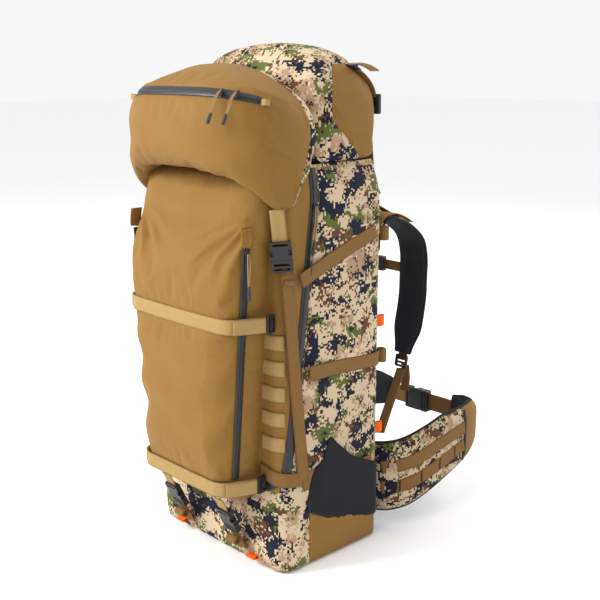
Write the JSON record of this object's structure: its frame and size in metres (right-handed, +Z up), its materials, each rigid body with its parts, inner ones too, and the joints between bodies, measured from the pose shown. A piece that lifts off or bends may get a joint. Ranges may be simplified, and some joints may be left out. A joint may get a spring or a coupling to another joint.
{
  "type": "framed hunting backpack",
  "caption": "Tall framed hunting backpack with a hinged lid, long front pocket, zipped main bag, padded shoulder harness and curved hip belt.",
  "frame": {"origin": "centre of the flat base, under the main bag", "axes": "+Z up, -Y out of the front of the pack away from the wearer, +Y towards the wearer, +X to the right when looking at the front"},
  "size_m": [0.3896, 0.6653, 0.892],
  "materials": {
    "coyote_fabric": "plain-weave coated nylon, satin",
    "camo_fabric": "printed block-pattern camouflage nylon, matt",
    "black_fabric": "stretch woven, matt",
    "spacer_mesh": "spacer mesh over foam, matt",
    "tan_webbing": "flat woven nylon webbing",
    "coyote_webbing": "flat woven nylon webbing",
    "cord": "braided cord",
    "orange_webbing": "bright woven tape",
    "zip_black": "coated zip tape and moulded teeth",
    "slider_black": "black coated die casting with cord pull",
    "buckle_plastic": "moulded acetal, fine texture",
    "frame_sheet": "moulded sheet",
    "frame_stay": "satin bar"
  },
  "bodies": {
    "pack": {"back_panel": "black_fabric", "bag_base": "camo_fabric", "base_corners": "coyote_fabric", "belt_buckle_female": "buckle_plastic", "belt_buckle_male": "buckle_plastic", "belt_webbing": "coyote_webbing", "collar_cord": "cord", "frame_sheet": "frame_sheet", "frame_stays": "frame_stay", "front_panel": "coyote_fabric", "front_pocket": "coyote_fabric", "front_straps": "tan_webbing", "harness_webbing": "coyote_webbing", "hip_wing_left": "camo_fabric", "hip_wing_right": "camo_fabric", "ladder_locks": "buckle_plastic", "lid_buckle_male": "buckle_plastic", "lid_straps": "coyote_webbing", "lower_buckle_female": "buckle_plastic", "lower_buckle_male": "buckle_plastic", "lower_straps": "coyote_webbing", "lumbar_pad": "spacer_mesh", "main_zips": "zip_black", "molle_webbing": "tan_webbing", "pocket_zips": "zip_black", "pull_tabs": "orange_webbing", "shoulder_strap_left": "spacer_mesh", "shoulder_strap_right": "spacer_mesh", "side_panel_left": "camo_fabric", "side_panel_right": "camo_fabric", "side_straps": "coyote_webbing", "strap_hooks": "buckle_plastic", "stretch_pockets": "black_fabric", "top_collar": "camo_fabric", "yoke": "spacer_mesh"},
    "lid": {"lid_top_pocket": "camo_fabric", "lid_front_pocket": "coyote_fabric", "lid_zip": "zip_black", "lid_webbing": "coyote_webbing", "lid_buckle_female": "buckle_plastic"},
    "chest_strap": {"chest_sliders": "buckle_plastic", "chest_webbing": "coyote_webbing", "chest_buckle_female": "buckle_plastic", "chest_buckle_male": "buckle_plastic"},
    "belt_buckle_prong_a": {"belt_buckle_prong_a": "buckle_plastic"},
    "belt_buckle_prong_b": {"belt_buckle_prong_b": "buckle_plastic"},
    "chest_buckle_prong_a": {"chest_buckle_prong_a": "buckle_plastic"},
    "chest_buckle_prong_b": {"chest_buckle_prong_b": "buckle_plastic"},
    "lid_buckle_prong_left_a": {"lid_buckle_prong_left_a": "buckle_plastic"},
    "lid_buckle_prong_left_b": {"lid_buckle_prong_left_b": "buckle_plastic"},
    "lid_buckle_prong_right_a": {"lid_buckle_prong_right_a": "buckle_plastic"},
    "lid_buckle_prong_right_b": {"lid_buckle_prong_right_b": "buckle_plastic"},
    "lid_slider_a": {"lid_slider_a": "slider_black"},
    "lid_slider_b": {"lid_slider_b": "slider_black"},
    "main_slider_left_lower": {"main_slider_left_lower": "slider_black"},
    "main_slider_left_upper": {"main_slider_left_upper": "slider_black"},
    "main_slider_right_lower": {"main_slider_right_lower": "slider_black"},
    "main_slider_right_upper": {"main_slider_right_upper": "slider_black"},
    "pocket_slider_left": {"pocket_slider_left": "slider_black"},
    "pocket_slider_right": {"pocket_slider_right": "slider_black"}
  },
  "joints": [
    {"name": "lid_hinge", "type": "hinge", "parent": "pack", "child": "lid", "pos_m": [0, 0.135, 0.595], "axis": [-1, 0, 0], "range_deg": [0, 85]},
    {"name": "chest_strap_height", "type": "slide", "parent": "pack", "child": "chest_strap", "axis": [0, 0, 1], "range_m": [-0.028, 0.028]},
    {"name": "main_zip_right_upper", "type": "slide", "parent": "pack", "child": "main_slider_right_upper", "axis": [0, -0.1305, -0.9914], "range_m": [0, 0.018]},
    {"name": "main_zip_right_lower", "type": "slide", "parent": "pack", "child": "main_slider_right_lower", "axis": [0, -0.1305, -0.9914], "range_m": [0, 0.13]},
    {"name": "main_zip_left_upper", "type": "slide", "parent": "pack", "child": "main_slider_left_upper", "axis": [0, -0.1305, -0.9914], "range_m": [0, 0.018]},
    {"name": "main_zip_left_lower", "type": "slide", "parent": "pack", "child": "main_slider_left_lower", "axis": [0, -0.1305, -0.9914], "range_m": [0, 0.13]},
    {"name": "pocket_zip_right", "type": "slide", "parent": "pack", "child": "pocket_slider_right", "axis": [-0.09, 0, -0.9959], "range_m": [0, 0.3]},
    {"name": "pocket_zip_left", "type": "slide", "parent": "pack", "child": "pocket_slider_left", "axis": [0.09, 0, -0.9959], "range_m": [0, 0.3]},
    {"name": "lid_zip_near", "type": "slide", "parent": "lid", "child": "lid_slider_a", "axis": [-1, 0, 0], "range_m": [0, 0.011]},
    {"name": "lid_zip_far", "type": "slide", "parent": "lid", "child": "lid_slider_b", "axis": [-1, 0, 0], "range_m": [0, 0.22]},
    {"name": "lid_buckle_right_prong_a", "type": "hinge", "parent": "pack", "child": "lid_buckle_prong_right_a", "pos_m": [0.17817, -0.11508, 0.55782], "axis": [0.7071, -0.7023, -0.082], "range_deg": [0, 8], "stiffness_Nm_per_rad": 0.05},
    {"name": "lid_buckle_right_prong_b", "type": "hinge", "parent": "pack", "child": "lid_buckle_prong_right_b", "pos_m": [0.16403, -0.12913, 0.55618], "axis": [-0.7071, 0.7023, 0.082], "range_deg": [0, 8], "stiffness_Nm_per_rad": 0.05},
    {"name": "lid_buckle_left_prong_a", "type": "hinge", "parent": "pack", "child": "lid_buckle_prong_left_a", "pos_m": [-0.17817, -0.11508, 0.55782], "axis": [0.7071, 0.7023, 0.082], "range_deg": [0, 8], "stiffness_Nm_per_rad": 0.05},
    {"name": "lid_buckle_left_prong_b", "type": "hinge", "parent": "pack", "child": "lid_buckle_prong_left_b", "pos_m": [-0.16403, -0.12913, 0.55618], "axis": [-0.7071, -0.7023, -0.082], "range_deg": [0, 8], "stiffness_Nm_per_rad": 0.05},
    {"name": "belt_buckle_prong_a", "type": "hinge", "parent": "pack", "child": "belt_buckle_prong_a", "pos_m": [0, 0.4487, 0.1277], "axis": [0, 1, 0], "range_deg": [0, 8], "stiffness_Nm_per_rad": 0.05},
    {"name": "belt_buckle_prong_b", "type": "hinge", "parent": "pack", "child": "belt_buckle_prong_b", "pos_m": [0, 0.4487, 0.1603], "axis": [0, -1, 0], "range_deg": [0, 8], "stiffness_Nm_per_rad": 0.05},
    {"name": "chest_buckle_prong_a", "type": "hinge", "parent": "chest_strap", "child": "chest_buckle_prong_a", "pos_m": [0, 0.2953, 0.4647], "axis": [0, 1, 0], "range_deg": [0, 8], "stiffness_Nm_per_rad": 0.05},
    {"name": "chest_buckle_prong_b", "type": "hinge", "parent": "chest_strap", "child": "chest_buckle_prong_b", "pos_m": [0, 0.2953, 0.4793], "axis": [0, -1, 0], "range_deg": [0, 8], "stiffness_Nm_per_rad": 0.05}
  ],
  "couplings": [
    {"joint": "lid_buckle_right_prong_b", "follows": "lid_buckle_right_prong_a", "ratio": 1},
    {"joint": "lid_buckle_left_prong_b", "follows": "lid_buckle_left_prong_a", "ratio": 1},
    {"joint": "belt_buckle_prong_b", "follows": "belt_buckle_prong_a", "ratio": 1},
    {"joint": "chest_buckle_prong_b", "follows": "chest_buckle_prong_a", "ratio": 1}
  ]
}
